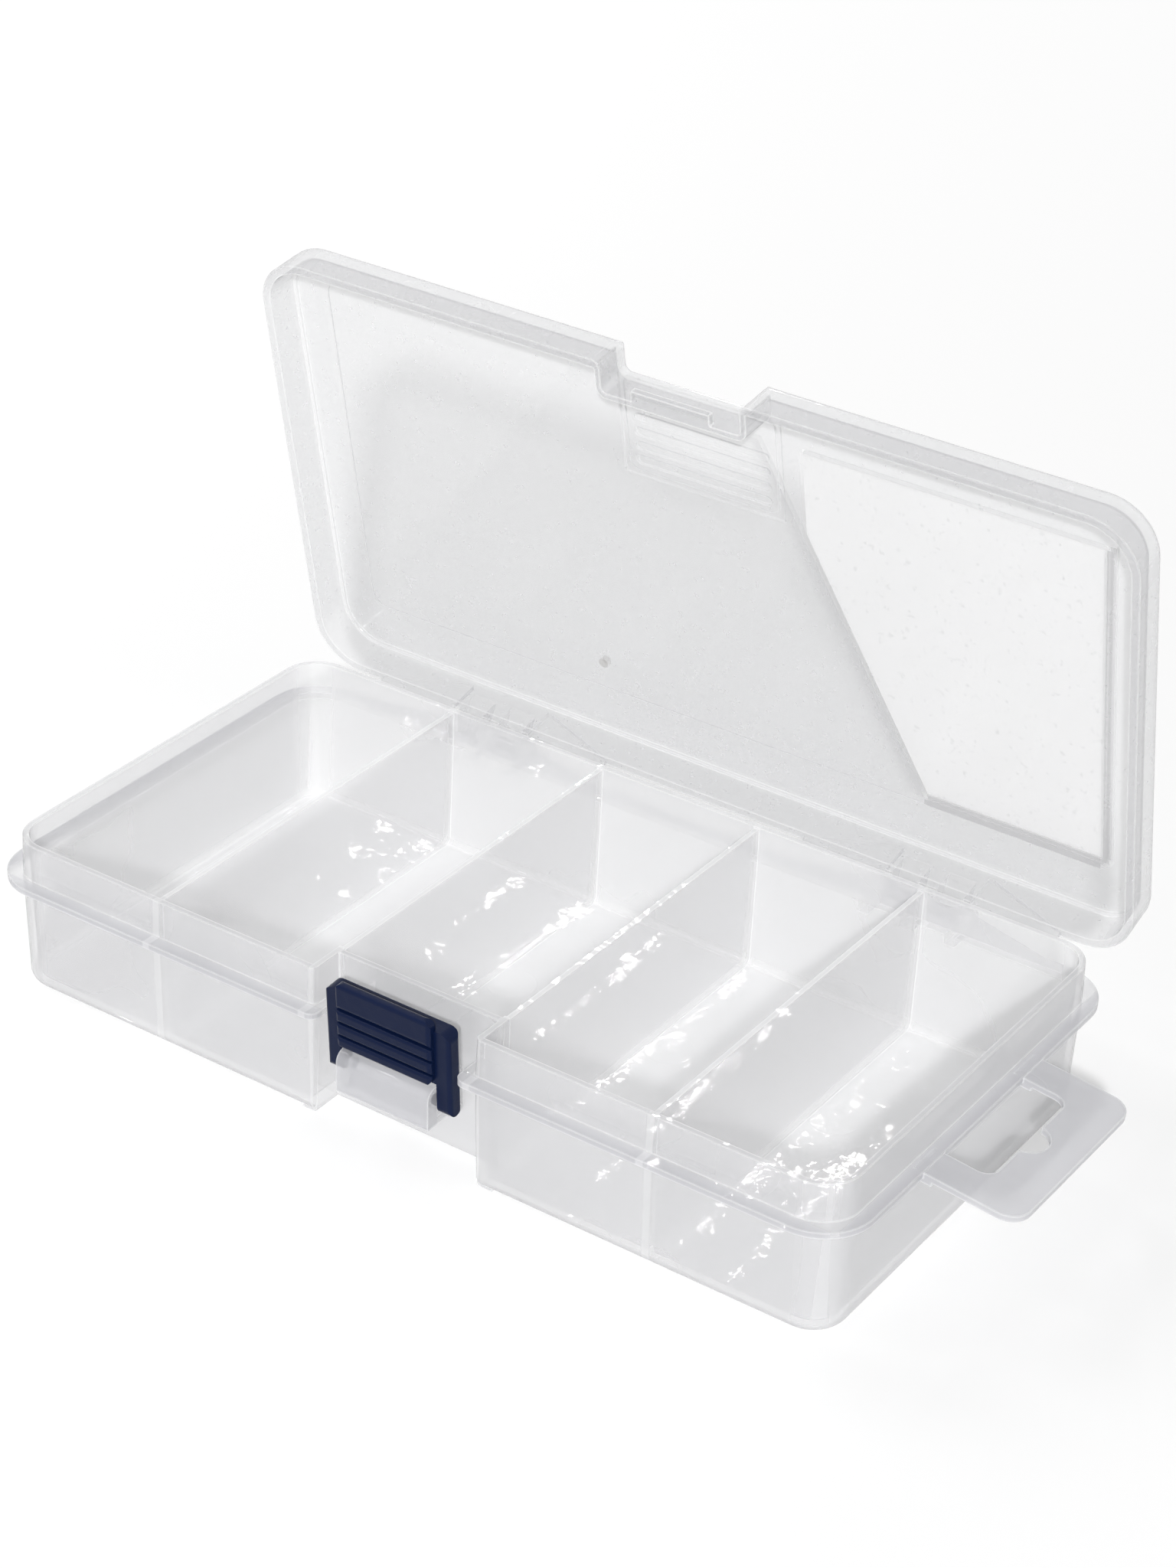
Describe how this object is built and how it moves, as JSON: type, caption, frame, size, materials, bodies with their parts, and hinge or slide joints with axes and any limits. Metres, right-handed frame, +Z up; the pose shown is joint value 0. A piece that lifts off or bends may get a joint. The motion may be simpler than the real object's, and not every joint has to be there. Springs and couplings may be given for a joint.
{
  "type": "lure box",
  "caption": "Shallow clear plastic tackle box with fixed dividers, a hinged clear lid standing open, a navy swing latch and a hang tab.",
  "frame": {"origin": "middle of the tray's underside, on the surface that the box stands on", "axes": "+X along the box towards the hang tab, +Y to the hinge side, +Z up"},
  "size_m": [0.2142, 0.1149, 0.1281],
  "materials": {
    "clear_pp": "translucent, glossy",
    "navy_pp": "satin",
    "paper": "matt printed film"
  },
  "bodies": {
    "tray": {"tray": "clear_pp"},
    "lid": {"lid": "clear_pp", "label": "paper"},
    "latch": {"latch": "navy_pp"}
  },
  "joints": [
    {"name": "lid_hinge", "type": "hinge", "parent": "tray", "child": "lid", "pos_m": [0, 0.0544, 0.0239], "axis": [1, 0, 0], "range_deg": [-27, 78.15]},
    {"name": "latch_hinge", "type": "hinge", "parent": "tray", "child": "latch", "pos_m": [0, -0.04665, 0.0156], "axis": [1, 0, 0], "range_deg": [-4, 91]}
  ]
}
